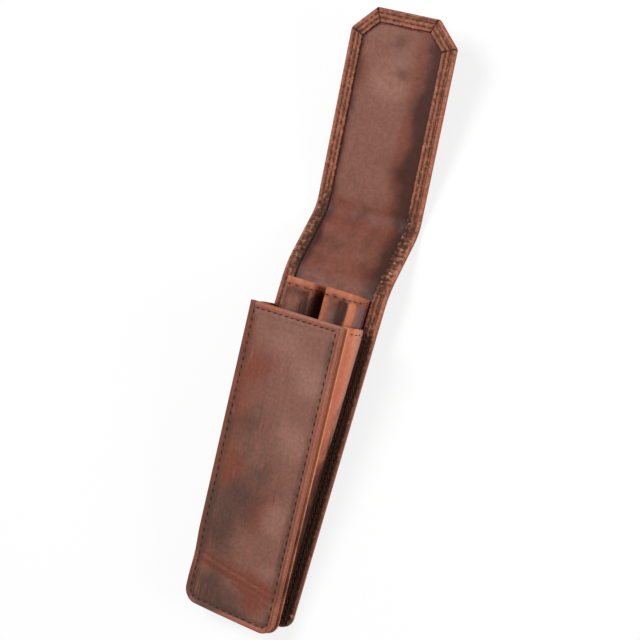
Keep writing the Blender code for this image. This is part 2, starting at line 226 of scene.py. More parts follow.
# The next four take their limits, places and sizes in millimetres


def ramp(value, low, high):
    return smooth(value, low * MM, high * MM)


def line(way, place, width):
    """1 at a place along a way, 0 from the width on beside it."""
    return hump(way - place * MM, width * MM)


def spot(co, x, y, reach):
    """A soft round patch on the flat leather: 1 in its middle."""
    return hump(Vector((co.x - x * MM, co.y - y * MM)).length, reach * MM)


def wander(x, y, size, seed):
    """Even noise from -1 to 1 at a point in metres, with blotches of the size."""
    size = size * MM
    return noise.noise(Vector((x / size, y / size, seed)))


def edge_way(co):
    """How far a flat point is from the case's outline."""
    side = HALF_WIDTH - abs(co.x)
    corner = (SHOULDER - co.y + side) / 2**0.5
    return min(side, co.y, TIP - co.y, corner)


def on_rows(way, width):
    """1 on the border's rows of stitching, 0 from the width on."""
    return max(hump(way - row, width) for row in BORDER_ROWS)


def squeezed(along):
    """1 between the creases, where the border is squeezed together, and 0 far from them."""
    near = smooth(along, BACK_LENGTH - 12 * MM, BACK_LENGTH + 6 * MM)
    return near * ramp(FLAP_CREASE + 13 * MM - along, 0, 12)


def pucker(x, along):
    """The border's ripples where it is squeezed, from -1 to 1."""
    ridge = 1 - 2.6 * abs(wander(x * 0.2, along, 1.9, 3.0))
    fine = 1 - 2.6 * abs(wander(x * 0.4, along, 1.0, 5.0))
    return squeezed(along) * (0.6 * ridge + 0.4 * fine)


def corner_pleats(co):
    """Pleats that run out from each round bottom corner, from -1 to 1."""
    inset, reach, pleats = 7 * MM, 5 * MM, 13
    off = Vector((HALF_WIDTH - inset - abs(co.x), inset - co.y))
    near = ramp(-off.x, -4, 2) * ramp(off.y, -4, 2)
    return near * sin(pleats * atan2(off.y, -off.x)) * hump(off.length - reach, 4 * MM)


def off_mitre(co, mitre):
    """How far a flat point is from a mitre."""
    corner, across = mitre[:2]
    return (co - corner).xy.cross(across.xy)


# Cutting and forming leather


def cut_leather(left, right, start, end, low, cell=CELL):
    """A flat rectangle in a grid of cells, still without its thickness."""
    width, length = right - left, end - start
    rows, columns = round(length / cell), round(width / cell)
    sheet = bmesh.new()
    bmesh.ops.create_grid(sheet, x_segments=columns, y_segments=rows, size=0.5)
    bmesh.ops.scale(sheet, vec=(width, length, 1), verts=sheet.verts)
    middle = ((left + right) / 2, (start + end) / 2, low)
    bmesh.ops.translate(sheet, vec=middle, verts=sheet.verts)
    return sheet


def extrude(sheet, way):
    """Draws a flat sheet out along a vector."""
    grown = bmesh.ops.extrude_face_region(sheet, geom=sheet.faces[:])
    moved = [item for item in grown["geom"] if isinstance(item, bmesh.types.BMVert)]
    bmesh.ops.translate(sheet, vec=way, verts=moved)


def thicken(sheet, height):
    """Makes a flat sheet a solid that stands on it."""
    extrude(sheet, (0, 0, height))
    bmesh.ops.recalc_face_normals(sheet, faces=sheet.faces)


def round_rim(sheet, radius):
    """Rounds the long edges of a rim, but not where the case's two lengths butt."""
    near = radius / 10
    rim = []
    for edge in sheet.edges:
        start, end = (vertex.co for vertex in edge.verts)
        turned = edge.calc_face_angle(0) > radians(60)
        level = abs(start.z - end.z) < near
        at_butt = abs(start.y - SPLIT) < near and abs(end.y - SPLIT) < near
        if turned and level and not at_butt:
            rim.append(edge)
    bmesh.ops.bevel(
        sheet, geom=rim, offset=radius, segments=3, profile=0.5, affect="EDGES", material=-1
    )


def trim(sheet, point, normal):
    """Cuts away what lies past a plane and closes the cut of a solid."""
    geometry = sheet.verts[:] + sheet.edges[:] + sheet.faces[:]
    solid = not any(edge.is_boundary for edge in sheet.edges)
    bmesh.ops.bisect_plane(
        sheet, geom=geometry, plane_co=point, plane_no=normal, clear_outer=True
    )
    if solid:
        rims = [edge for edge in sheet.edges if edge.is_boundary]
        bmesh.ops.holes_fill(sheet, edges=rims)


def draw_in_corners(point, half, size, foot, power, upwards=False):
    """Draws the square corners at one end in, to round ones (2) or to straight cuts (1)."""
    side = (abs(point.x) - half) / size + 1
    end = 1 - ((foot - point.y) if upwards else (point.y - foot)) / size
    if side <= 0 or end <= 0:
        return
    share = max(side, end) / (side**power + end**power) ** (1 / power)
    point.x = (half + size * (side * share - 1)) * (1 if point.x > 0 else -1)
    rest = size * (1 - end * share)
    point.y = foot - rest if upwards else foot + rest


def round_bottom(co):
    """Rounds the bottom corners of the case's back."""
    draw_in_corners(co, HALF_WIDTH, BACK_CORNER, 0, 2)


def note_layers(piece):
    """What a material reads at each vertex: its flat place, its way to the rim and its tone."""
    layers = piece.verts.layers
    flat, rim = layers.float_vector.new("flat"), layers.float.new("rim")
    return flat, rim, layers.float_vector.new("tone")


def lay_out(piece, way, tone):
    """Notes what the material reads at each vertex of a flat piece."""
    flat_note, rim_note, tone_note = note_layers(piece)
    for vertex in piece.verts:
        co = vertex.co
        vertex[flat_note], vertex[rim_note], vertex[tone_note] = co.copy(), way(co), tone(co)


def link(name, data):
    obj = bpy.data.objects.new(name, data)
    bpy.context.scene.collection.objects.link(obj)
    return obj


def settle(name, piece, carry, material, nodes, body="case"):
    """Makes the bmesh an object where it lies, parented to its body, or baked in place for the pieces of the back
    and the flap.
    """
    if carry:
        for vertex in piece.verts:
            vertex.co = carry(vertex.co)
    bmesh.ops.recalc_face_normals(piece, faces=piece.faces)
    mesh = bpy.data.meshes.new(name)
    piece.to_mesh(mesh)
    piece.free()
    mesh.shade_smooth()
    mesh.set_sharp_from_angle(angle=radians(55))
    mesh.materials.append(material)
    obj = link(name, mesh)
    if nodes:
        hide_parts(*nodes)
    if body == "back fold":
        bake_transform(obj)
    elif body == "flap fold":
        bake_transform(obj)
    else:
        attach(obj, body)


# Tones of the case's leather: how dark, red and pale each place is, from 0 to 1; part of the dark is painted
# shade, and part of the pale and red is painted highlight


def capped(*values):
    return Vector([min(value, 1) for value in values])


def bent(co):
    """1 on the creases, fading out in streaks beside them."""
    near = max(hump(co.y - crease[0], 2.2 * crease[1]) for crease in CREASES)
    return near * (0.5 + 0.5 * wander(co.x * 0.25, co.y, 1.6, 12.0))


def outer_tone(co):
    """Darker along the stitching, redder at the creases and inside the stitching."""
    way = edge_way(co)
    dark = 0.55 * on_rows(way, 0.9 * MM)
    red = 0.8 * bent(co) + 0.5 * line(way, 5.5, 2.5)
    return Vector((dark, red, 0.35 * spot(co, 3, 80, 30)))


def lining_tone(co):
    """The lining has painted shade beside the right border and in the spine, is darker along the left border, and
    has a painted highlight over the magnet's swell.
    """
    on_flap = smooth(co.y, SPLIT, SPLIT + 40 * MM)
    right = LINING_HALF - co.x
    left = LINING_HALF + co.x
    uneven = 1 + 0.35 * wander(co.x, co.y, 14, 14.0)
    # painted shade where the lining falls towards the right border, deeper on the flap
    dark = (0.75 + 0.3 * on_flap) * (1 - smooth(right, -3 * MM, 12 * MM * uneven))
    dark += 0.45 * (1 - smooth(left, 0, 5 * MM * uneven))
    dark += 0.35 * spot(co, 12, 228, 12) + 0.35 * spot(co, 14, 203, 18)
    magnet = FLAP_MAGNET / MM
    dark += 0.3 * spot(co, 3, magnet - 1, 6) + 0.3 * spot(co, 0, magnet + 12, 9)
    # painted shade in the spine's crease, here and in its red below
    dark += 0.3 * squeezed(co.y) * (0.6 + wander(co.x, co.y, 8, 16.0))
    # a painted red-brown shade band beside the right border
    red = 0.55 * on_flap * line(right, 8, 7) + 0.4 * spot(co, -15, magnet - 6, 14)
    red += 0.7 * bent(co) + 0.35 * squeezed(co.y)
    # painted highlight on the swell over the magnet
    return capped(dark, red, 0.6 * spot(co, -3, magnet - 6, 17))


def border_tone(co, mitres):
    """Dark in the mitres; painted shade at the inner edge, in the puckers' troughs, on the left outer edge and
    beside the pouch; brown rows, and painted highlights on the pucker ridges and corner pleats.
    """
    way = edge_way(co)
    # painted shade along the border's inner edge, where it stands over the lining
    dark = 0.6 * hump(way - BORDER_WIDTH, 0.7 * MM)
    for mitre in mitres:
        dark += 0.8 * hump(off_mitre(co, mitre), 0.5 * MM)
    ripple = pucker(co.x, co.y)
    # painted shadow of the pouch on the border beside it, darker on the right, with a browner margin
    pouch_shadow = 1 - ramp(co.y, 112, 142)
    margin = 1 - ramp(way, 0.8, 1.5)
    inner = ramp(way, 1.5, 5.5)
    dark += (1.0 if co.x > 0 else 0.6) * pouch_shadow * (1 - 0.88 * margin)
    # darker where squeezed and further in, with painted shade in the puckers' troughs
    dark += squeezed(co.y) * (0.1 + 0.4 * inner + 0.35 * max(0.2 - ripple, 0))
    right = ramp(co.x, -5, 5)
    # painted shade on the outer edge of the left side
    dark += 0.5 * (1 - right) * (1 - ramp(way, 0, 0.4))
    brown = 0.6 * on_rows(way, 1.1 * MM) + 0.9 * right * line(way, 1.05, 0.4)
    brown += 0.35 * squeezed(co.y) * (1 - margin) + 0.7 * right * pouch_shadow * margin
    # painted highlights on the crests of the puckers and the corner pleats
    painted_highlight = max(0.8 * (ripple - 0.35), corner_pleats(co))
    return capped(dark, brown, max(painted_highlight, 0))


# Pieces of the case


def outer_leather(name, start, end, nodes, body):
    """The leather sheet that the whole case is built on, in two lengths that butt."""
    sheet = cut_leather(-HALF_WIDTH, HALF_WIDTH, start, end, FACE)
    thicken(sheet, SHELL)
    round_rim(sheet, EDGE_ROUND)
    for vertex in sheet.verts:
        round_bottom(vertex.co)
        draw_in_corners(vertex.co, HALF_WIDTH, FLAP_CHAMFER, TIP, 1, upwards=True)
    lay_out(sheet, edge_way, outer_tone)
    for vertex in sheet.verts:
        co = vertex.co
        if co.z < FACE + SHELL / 2:
            co.z += 0.14 * MM * on_rows(edge_way(co), 0.8 * MM)
            co.z += 0.05 * MM * wander(co.x, co.y, 9, 2.0)
        else:
            co.z -= GAP * hump(max(from_magnet(co, FLAP_MAGNET) - 4 * MM, 0), 6 * MM)
    settle(name, sheet, fold, OUTER, nodes, body)


def lining_relief(co):
    """The lining swells in its middle and over the magnet, and gathers in the creases."""
    across = 1 - min(abs(co.x) / LINING_HALF, 1) ** 3
    on_flap = smooth(co.y, FLAP_CREASE + 8 * MM, FLAP_CREASE + 30 * MM)
    on_flap *= ramp(TIP - co.y, 6, 14)
    height = 0.28 * MM * across * on_flap
    height += MAGNET_ROOM * hump(from_magnet(co, FLAP_MAGNET), MAGNET_REACH)
    height += 0.10 * MM * wander(co.x, co.y, 11, 8.0) * across
    gathered = hump(co.y - FLAP_CREASE, 9 * MM)
    fine = wander(co.x * 0.3, co.y, 2.2, 9.0)
    return height + across * gathered * (0.22 * MM * fine + 0.25 * MM)


def lining_leather(name, start, end, nodes, body):
    """The smooth leather between the borders."""
    inset = BORDER_WIDTH + GAP / 2
    half = HALF_WIDTH - inset
    sheet = cut_leather(-half, half, max(start, inset), min(end, TIP - inset), LINING_FOOT)
    for side in (-1, 1):
        across = Vector((side, 1, 0)).normalized()
        trim(sheet, Vector((side * HALF_WIDTH, SHOULDER, 0)) - across * inset, across)
    thicken(sheet, LINING)
    lay_out(sheet, lambda co: edge_way(co) - inset, lining_tone)
    for vertex in sheet.verts:
        vertex.co.z += lining_relief(vertex.co)
    settle(name, sheet, fold, INNER, nodes, body)


def rounded_edge(centre, first):
    """A quarter turn of the border's profile, from an angle on."""
    steps = 4
    angles = [first + pi / 2 * step / steps for step in range(steps + 1)]
    return [
        (centre + EDGE_ROUND * cos(angle), -EDGE_ROUND + EDGE_ROUND * sin(angle))
        for angle in angles
    ]


def strip_profile():
    """The border's profile as (distance from the edge, level), anticlockwise."""
    top, steps = BORDER_WIDTH - 2 * EDGE_ROUND, 22
    outline = [(0.0, LINING_FOOT), (BORDER_WIDTH, LINING_FOOT)]
    outline += rounded_edge(BORDER_WIDTH - EDGE_ROUND, 0)
    for step in range(1, steps):
        outline.append((BORDER_WIDTH - EDGE_ROUND - top * step / steps, 0.0))
    return outline + rounded_edge(EDGE_ROUND, pi / 2)


def border_relief(co, mitres):
    """A creased edge, two sunken rows of stitching, puckers, pleats and pinched mitres."""
    way = edge_way(co)
    height = -0.18 * MM * on_rows(way, 0.8 * MM)
    height -= 0.20 * MM * line(way, 1.05, 0.28)
    height += 0.08 * MM * line(way, 3.1, 0.8)
    height += 0.34 * MM * pucker(co.x, co.y) * ramp(way, 0.5, 1.6)
    height += 0.20 * MM * corner_pleats(co)
    height += 0.08 * MM * wander(co.x, co.y, 1.3, 4.0)
    for mitre in mitres:
        height -= 0.40 * MM * hump(off_mitre(co, mitre), 0.8 * MM)
    return height


def border_strip(name, start, end, mitres, nodes, body):
    """One run of the border: its profile drawn along the edge and mitred."""
    run = (end - start).normalized()
    inwards = Vector((-run.y, run.x, 0))
    length = (end - start).length
    strip = bmesh.new()
    strip.faces.new([strip.verts.new((x, 0, z)) for x, z in strip_profile()])
    extrude(strip, (0, length, 0))
    long_edges = [edge for edge in strip.edges if edge.calc_length() > length / 2]
    cuts = ceil(length / STRIP_CELL)
    bmesh.ops.subdivide_edges(strip, edges=long_edges, cuts=cuts, use_grid_fill=True)
    turned = Matrix((inwards, run, Vector((0, 0, 1)))).transposed().to_4x4()
    bmesh.ops.transform(strip, matrix=Matrix.Translation(start) @ turned, verts=strip.verts)
    for corner, across, away in mitres:
        trim(strip, corner, Vector((-across.y, across.x, 0)) * away)
    lay_out(strip, edge_way, lambda co: border_tone(co, mitres))
    for vertex in strip.verts:
        co = vertex.co
        co.z += border_relief(co, mitres) * smooth(co.z, LINING_FOOT, -0.3 * MM)
        round_bottom(co)
    settle(name, strip, fold, EDGING, nodes, body)


def inset_chain(points, distance):
    """Moves an open chain of flat points to its left by the distance."""
    runs = [(end - start).normalized() for start, end in zip(points, points[1:])]
    sides = [Vector((-run.y, run.x, 0)) for run in runs]
    moved = [points[0] + sides[0] * distance]
    for here, before, after in zip(points[1:], sides, sides[1:]):
        reach = (before + after) / (1 + before.dot(after))
        moved.append(here + reach * distance)
    return moved + [points[-1] + sides[-1] * distance]


def chain_of(*places):
    return [Vector((x, y, 0)) for x, y in places]


BACK_CHAIN = chain_of(
    (-HALF_WIDTH, SPLIT), (-HALF_WIDTH, 0), (HALF_WIDTH, 0), (HALF_WIDTH, SPLIT)
)
FLAP_CHAIN = chain_of(
    (HALF_WIDTH, SPLIT),
    (HALF_WIDTH, SHOULDER),
    (HALF_WIDTH - FLAP_CHAMFER, TIP),
    (FLAP_CHAMFER - HALF_WIDTH, TIP),
    (-HALF_WIDTH, SHOULDER),
    (-HALF_WIDTH, SPLIT),
)


def borders(chain, runs, body):
    """Every run of a border, with the CAD nodes that each one stands for.

    A mitre is its outer corner, its direction inwards, and the side that is cut away.
    """
    inner = inset_chain(chain, BORDER_WIDTH)
    across = [(inset - corner).normalized() for corner, inset in zip(chain, inner)]
    for i, (name, nodes) in enumerate(runs):
        mitres = []
        start, end = chain[i], chain[i + 1]
        over = (end - start).normalized() * BORDER_WIDTH
        if i > 0:
            mitres.append((chain[i], across[i], 1))
            start = start - over
        if i + 1 < len(runs):
            mitres.append((chain[i + 1], across[i + 1], -1))
            end = end + over
        border_strip(name, start, end, mitres, nodes, body)


# Stitching; a stitch's size is its width, its height and its length

STITCH_SLANT = radians(11)
BORDER_STITCH = (0.42 * MM, 0.45 * MM, BORDER_PITCH * 0.66)
FRONT_STITCH = (0.50 * MM, 0.45 * MM, 1.75 * MM)
HEM_STITCH = (0.50 * MM, 0.45 * MM, HEM_PITCH * 0.45)


def new_row():
    row = bmesh.new()
    row.loops.layers.uv.new("ply")
    return row


def sew(row, place, along, outward, size):
    """Adds one stitch, a short plump length of thread, and returns its vertices."""
    along = along.normalized()
    across = outward.cross(along).normalized()
    axes = Matrix((across, along.cross(across), along)).transposed().to_4x4()
    matrix = Matrix.Translation(place) @ axes @ Matrix.Diagonal((*size, 1))
    made = bmesh.ops.create_uvsphere(
        row, u_segments=8, v_segments=6, radius=0.5, matrix=matrix, calc_uvs=True
    )
    return made["verts"]


def sew_flat(row, chain, pitch, size, level, outward, shape):
    """Sews evenly along each run of a flat chain; shape draws the stitches round the corners."""
    slant = Matrix.Rotation(STITCH_SLANT * outward.z, 3, "Z")
    for start, end in zip(chain, chain[1:]):
        run = end - start
        count = max(round(run.length / pitch), 1)
        for step in range(count):
            place = start + run * (step + 0.5) / count + Vector((0, 0, level))
            for vertex in sew(row, place, slant @ run.normalized(), outward, size):
                shape(vertex.co)


def case_stitches(name, chain, inside, nodes, body):
    """Both rows round a border, on its inner side or on the outer leather."""
    row = new_row()
    level = -0.12 * MM if inside else FACE + 0.10 * MM
    outward = Vector((0, 0, 1 if inside else -1))
    for distance in BORDER_ROWS:
        run = inset_chain(chain, distance)
        sew_flat(row, run, BORDER_PITCH, BORDER_STITCH, level, outward, round_bottom)
    settle(name, row, fold, BORDER_THREAD, nodes, body)


def seams(*parts):
    """The CAD nodes of both rows of stitching on each part of the case."""
    return [f"{part}_{row}" for part in parts for row in ("outer", "inner")]


def sew_hem(row, place, share, across, away, lift, step=0.002):
    """Adds a stitch across a formed sheet, lifted to its face on the side that looks away."""
    here = place(share, across)
    along = (place(share + step, across) - place(share - step, across)).normalized()
    over = (place(share, across + step) - place(share, across - step)).normalized()
    outward = over.cross(along).normalized()
    if outward.dot(away) < 0:
        outward = -outward
    sew(row, here + outward * lift, over, outward, HEM_STITCH)


# Front panel


def front_way(co):
    """How far a flat point is from the front's outline."""
    return min(FRONT_HALF - abs(co.x), co.y, FRONT_LENGTH - co.y)


def front_crown(co):
    """The soft swell of the front, uneven, and a little fuller near its bottom."""
    across = 1 - min(abs(co.x) / FRONT_HALF, 1) ** 2
    along = ramp(co.y, 0, 25) * ramp(FRONT_LENGTH - co.y, 0, 30)
    height = 0.35 * MM * across * along
    height += 0.10 * MM * wander(co.x, co.y, 16, 21.0) * across
    low = 1 - ramp(co.y, 0, 19)
    return height + 0.5 * MM * low * across


# Each fold line on the front: its two ends, its width and its height, in millimetres
RAISED_FOLD = ((-24, 21.6), (18, 15.2), 0.9, 0.18)
FRONT_FOLDS = (
    ((-24, 23.0), (21, 15.8), 0.6, -0.24),
    ((-24, 19.8), (21, 13.2), 0.6, -0.22),
    RAISED_FOLD,
    ((-6, 18.4), (21, 16.6), 0.5, -0.14),
    ((-2, 14.6), (20, 10.6), 0.5, -0.12),
)


def fold_way(co, start, end):
    """The distance from a point to a fold line, and how far along the line it is."""
    start, end = Vector(start) * MM, Vector(end) * MM
    run = end - start
    along = (co.xy - start).dot(run) / run.length_squared
    bow = 0.5 * MM * wander(co.x, 0, 9, start.y / MM)
    return run.normalized().cross(co.xy - start) + bow, along


def front_folds(co):
    """The height of the front's fold lines, and their mark."""
    height = mark_left = 0.0
    for start, end, width, depth in FRONT_FOLDS:
        off, along = fold_way(co, start, end)
        fade = smooth(along, -0.1, 0.1) * smooth(1 - along, -0.02, 0.25)
        height += depth * MM * fade * hump(off, width * MM)
        mark_left = max(mark_left, fade * hump(off, 1.8 * width * MM))
    return height, mark_left


def turned_edge(co):
    """1 on the line that sets off the turned edge on the front's right side."""
    return line(FRONT_HALF - co.x, 0.95, 0.5)


def front_relief(co):
    """The sunken row of stitching between soft ridges, the turned edges and the folds."""
    way = front_way(co)
    top = FRONT_LENGTH - co.y
    height = -0.22 * MM * turned_edge(co)
    height -= 0.34 * MM * hump(way - FRONT_ROW, 1.3 * MM)
    height += 0.16 * MM * line(way, 1.1, 1.0)
    height += 0.12 * MM * line(top, 0.9, 0.9)
    height -= 0.16 * MM * line(way - FRONT_ROW, 2.2, 2.6)
    return height + front_folds(co)[0]


# Soft patches on the front: place and reach in millimetres, then how dark, red and pale; the pale ones, down the
# right side and near the top, are painted sheen
FRONT_PATCHES = (
    (-14, 104, 18, 0, 0.65, 0),
    (-17, 84, 16, 0.15, 0.6, 0),
    (-17, 62, 18, 0.1, 0.85, 0),
    (-5, 80, 18, 0.42, 0, 0),
    (2, 62, 20, 0.42, 0, 0),
    (-10, 45, 20, 0.6, 0.1, 0),
    (-12, 28, 16, 0.5, 0.35, 0),
    (4, 48, 17, 0.1, 0.5, 0),
    (-10, 8, 17, 0.75, 0, 0),
    (4, 7, 11, 0.35, 0, 0),
    (10, 11, 12, 0, 0.8, 0),
    (13, 45, 14, 0, 0, 0.55),
    (12, 80, 16, 0, 0, 0.6),
    (13, 108, 16, 0, 0, 0.6),
    (0, 118, 16, 0, 0.2, 0.5),
    (14, 24, 10, 0, 0, 0.4),
)
FRONT_UNDERSIDE = Vector((0.5, 0.3, 0))
LINED_TONE = Vector((0.2, 0.3, 0))


def front_tone(co):
    """Redder folds and patches, painted shade in the hollows inside the stitching, painted sheen down the right
    side and a painted highlight on the top edge.
    """
    if co.z < -FRONT_SHELL / 2:
        return FRONT_UNDERSIDE
    tone = Vector((0, 0, 0))
    for x, y, reach, *colours in FRONT_PATCHES:
        tone += spot(co, x, y, reach) * Vector(colours)
    way = front_way(co)
    top = FRONT_LENGTH - co.y
    # painted shade in the hollows inside the row of stitching, redder on the left
    hollow = line(way - FRONT_ROW, 1.0, 2.8) * ramp(top, 3, 8)
    tone += hollow * (Vector((0.35, 0.45, 0)) if co.x < 0 else Vector((0.42, 0, 0)))
    tone.x += 0.5 * hump(way - FRONT_ROW, 0.5 * MM)
    left_margin = 1 - ramp(FRONT_HALF + co.x, 2.2, 3.2)
    tone += left_margin * Vector((0.05, 0.9, 0)) + turned_edge(co) * Vector((0.65, 1.0, 0))
    # painted highlight along the right part of the top edge
    tone.z += 0.9 * line(top, 0.2, 1.0) * ramp(co.x, -14, 4)
    tone.y += front_folds(co)[1]
    tone.z += 0.25 * line(fold_way(co, *RAISED_FOLD[:2])[0], 0.3, 0.6)
    over_folds = ramp(co.y + co.x * 0.14, 14.5, 18) * ramp(26 * MM - co.y, 0, 6)
    tone.y += 0.45 * over_folds
    rub = wander(co.x, co.y * 0.06, 1.0, 31.0)
    rubbed = spot(co, 3, 52, 20) + spot(co, 9, 100, 22) * 0.6
    tone.y += 0.7 * smooth(rub, 0.2, 0.55) * rubbed
    return capped(*tone)


def skew(co):
    """The lower right corner hangs lower, and the left side nips in above its corner."""
    share = (co.x / FRONT_HALF + 1) / 2
    low = 1 - ramp(co.y, 0, 30)
    nip = line(co.y, 21, 12)
    co.x += 0.5 * MM * nip * (1 - share) ** 2
    co.y -= 2.2 * MM * share * low


def shape_outline(co):
    """Rounds the front's bottom corners and skews it."""
    draw_in_corners(co, FRONT_HALF, FRONT_CORNER, 0, 2)
    skew(co)


def shape_front(co):
    """Gives the front its crown and its outline."""
    co.z += front_crown(co)
    shape_outline(co)


def magnet_pocket(co):
    """The depth of the front magnet's hollow."""
    return GAP * (1 - ramp(from_magnet(co, FRONT_MAGNET), 7.5, 10))


def front_panel():
    sheet = cut_leather(-FRONT_HALF, FRONT_HALF, 0, FRONT_LENGTH, -FRONT_SHELL, FRONT_CELL)
    thicken(sheet, FRONT_SHELL)
    round_rim(sheet, FRONT_ROUND)
    lay_out(sheet, front_way, front_tone)
    for vertex in sheet.verts:
        co = vertex.co
        co.z += front_relief(co) if co.z > -FRONT_SHELL / 2 else magnet_pocket(co)
        shape_front(co)
    settle("front_leather", sheet, onto_front, FACING, ["front_panel"])


def front_lining():
    half = FRONT_HALF - GAP
    sheet = cut_leather(-half, half, GAP, FRONT_LENGTH - GAP, FRONT_LOW)
    thicken(sheet, FRONT_LINING)
    round_rim(sheet, LINED_ROUND)
    lay_out(sheet, front_way, lambda co: LINED_TONE)
    for vertex in sheet.verts:
        co = vertex.co
        co.z += front_crown(co) - magnet_pocket(co)
        shape_outline(co)
    nodes = ["front_lining"]
    settle("front_lining_leather", sheet, onto_front, LINED, nodes)


def front_stitches():
    row = new_row()
    half, low, top = FRONT_HALF - FRONT_ROW, FRONT_ROW, FRONT_LENGTH - FRONT_ROW
    corners = chain_of((-half, top), (-half, low), (half, low), (half, top))
    mouth = (corners[-1], corners[0])
    for chain, pitch in ((corners, FRONT_PITCH), (mouth, MOUTH_PITCH)):
        sew_flat(row, chain, pitch, FRONT_STITCH, -0.22 * MM, Vector((0, 0, 1)), shape_front)
    settle("front_stitches", row, onto_front, THREAD, ["front_seam"])


# Gusset and sleeves, as formulas of a share along the piece and a share across it


def shaped_grid(share_steps, across_steps, place, thickness):
    """A sheet whose points are given by a formula, thickened about its middle."""
    sheet = bmesh.new()
    bmesh.ops.create_grid(sheet, x_segments=share_steps, y_segments=across_steps, size=0.5)
    flat, rim, tone = note_layers(sheet)
    for vertex in sheet.verts:
        share, across = vertex.co.x + 0.5, vertex.co.y + 0.5
        vertex.co, vertex[flat], vertex[rim], vertex[tone] = place(share, across)
    bmesh.ops.solidify(sheet, geom=sheet.faces[:], thickness=thickness)
    return sheet


def u_point(half, bottom, top, radius, share):
    """A point on a U that runs down the right side, round the bottom and up the left."""
    if share > 0.5:
        x, y = u_point(half, bottom, top, radius, 1 - share)
        return -x, y
    side, corner = 0.37, 0.43
    if share < side:
        return half, top - (top - bottom - radius) * share / side
    if share < corner:
        angle = -pi / 2 * (share - side) / (corner - side)
        return half - radius + radius * cos(angle), bottom + radius + radius * sin(angle)
    return (half - radius) * (0.5 - share) / (0.5 - corner), bottom


def gusset_front(share, inset):
    """A place on the gusset's front end, under the front's rim."""
    radius = max(FRONT_CORNER - inset, TIGHTEST_TURN)
    x, y = u_point(FRONT_HALF - inset, inset, FRONT_LENGTH - GAP, radius, share)
    co = Vector((x, y, GUSSET_LEVEL))
    skew(co)
    return onto_front(co)


def gusset_back(share, inset):
    """A place on the gusset's back end, on the back's border."""
    radius = max(FOOT_CORNER - inset, TIGHTEST_TURN)
    x, y = u_point(GUSSET_FOOT - inset, FOOT_INSET + inset, GUSSET_TOP, radius, share)
    return fold(Vector((x, y, GAP + GUSSET / 2)))


def gusset_point(share, across):
    """Across runs from the gusset's front flange over its wall to its foot."""
    flange, foot = GUSSET_FOLDS
    if across < flange:
        inset = -GUSSET_PROUD + (FLANGE + GUSSET_PROUD) * across / flange
        return gusset_front(share, inset)
    if across > foot:
        return gusset_back(share, FOOT_FLANGE * (across - foot) / (1 - foot))
    down = (across - flange) / (foot - flange)
    from_middle = abs(share - 0.5)
    swell = sin(pi * down**0.85) ** 0.8
    deep = 0.4 + 0.6 * smooth(from_middle, 0.08, 0.5)
    uneven = 0.3 * MM * wander(share * 0.23, down * 0.006, 9, 41.0)
    bulge = (GUSSET_BULGE * deep + uneven) * swell
    near_corner, waves = hump(from_middle - 0.10, 0.05), sin(share * 420)
    bulge += 0.5 * MM * near_corner * waves * swell
    rounded = 1.4 * MM * smooth(down, 0.72, 1.0) * smooth(from_middle, 0.47, 0.5)
    front = gusset_front(share, FLANGE - bulge)
    back = gusset_back(share, -bulge)
    return front.lerp(back, down) - heading(BACK_TILT) * rounded


def gusset_tone(share, across):
    """Painted shade in its folds, at its foot and deep in the pouch; redder and then paler down the wall, the
    paler part a painted reflection.
    """
    flange, foot = GUSSET_FOLDS
    down = (across - flange) / (foot - flange)
    shaded = 0.21 + 0.08 * smooth(down, 0, 1) + 0.02 * wander(share, down * 0.1, 50, 43.0)
    low = 1 - smooth(abs(share - 0.5), shaded, shaded + 0.19)
    # painted shade in the fold at the front flange and at the foot of the wall
    dark = 0.9 * hump(across - flange, 0.05) + 0.7 * smooth(down, 0.85, 1.0)
    # painted shade deep in the pouch, low down the gusset
    dark += low * (0.4 + 0.5 * smooth(down, 0.0, 0.15))
    # the pale low on the wall is a painted reflection
    return capped(dark, 0.6 * hump(down - 0.3, 0.35), 0.8 * hump(down - 0.8, 0.3))


def gusset():
    """The folded strip that joins the front to the back."""

    def place(share, across):
        along, wide = share * GUSSET_LENGTH, across * GUSSET_WIDTH
        rim = min(along, (1 - share) * GUSSET_LENGTH, (across + 0.01) * GUSSET_WIDTH)
        tone = gusset_tone(share, across)
        return gusset_point(share, across), Vector((wide, along, 0)), rim, tone

    sheet = shaped_grid(240, 44, place, GUSSET)
    settle("gusset_leather", sheet, None, SIDE, ["gusset"])


def gusset_stitches():
    """A short hem row at each end of the gusset, on its outer side."""
    hem, first, pitch, stitches = 0.0075, 0.24, 0.15, 5
    for side, start, out in (("right", 0.0, 1), ("left", 1.0, -1)):
        row = new_row()
        share, away = start + out * hem, Vector((out, 0, 0))
        for step in range(stitches):
            sew_hem(row, gusset_point, share, first + pitch * step, away, GUSSET / 2, 0.004)
        name = f"gusset_{side}_stitches"
        settle(name, row, None, THREAD, [f"gusset_hem_{side}"])


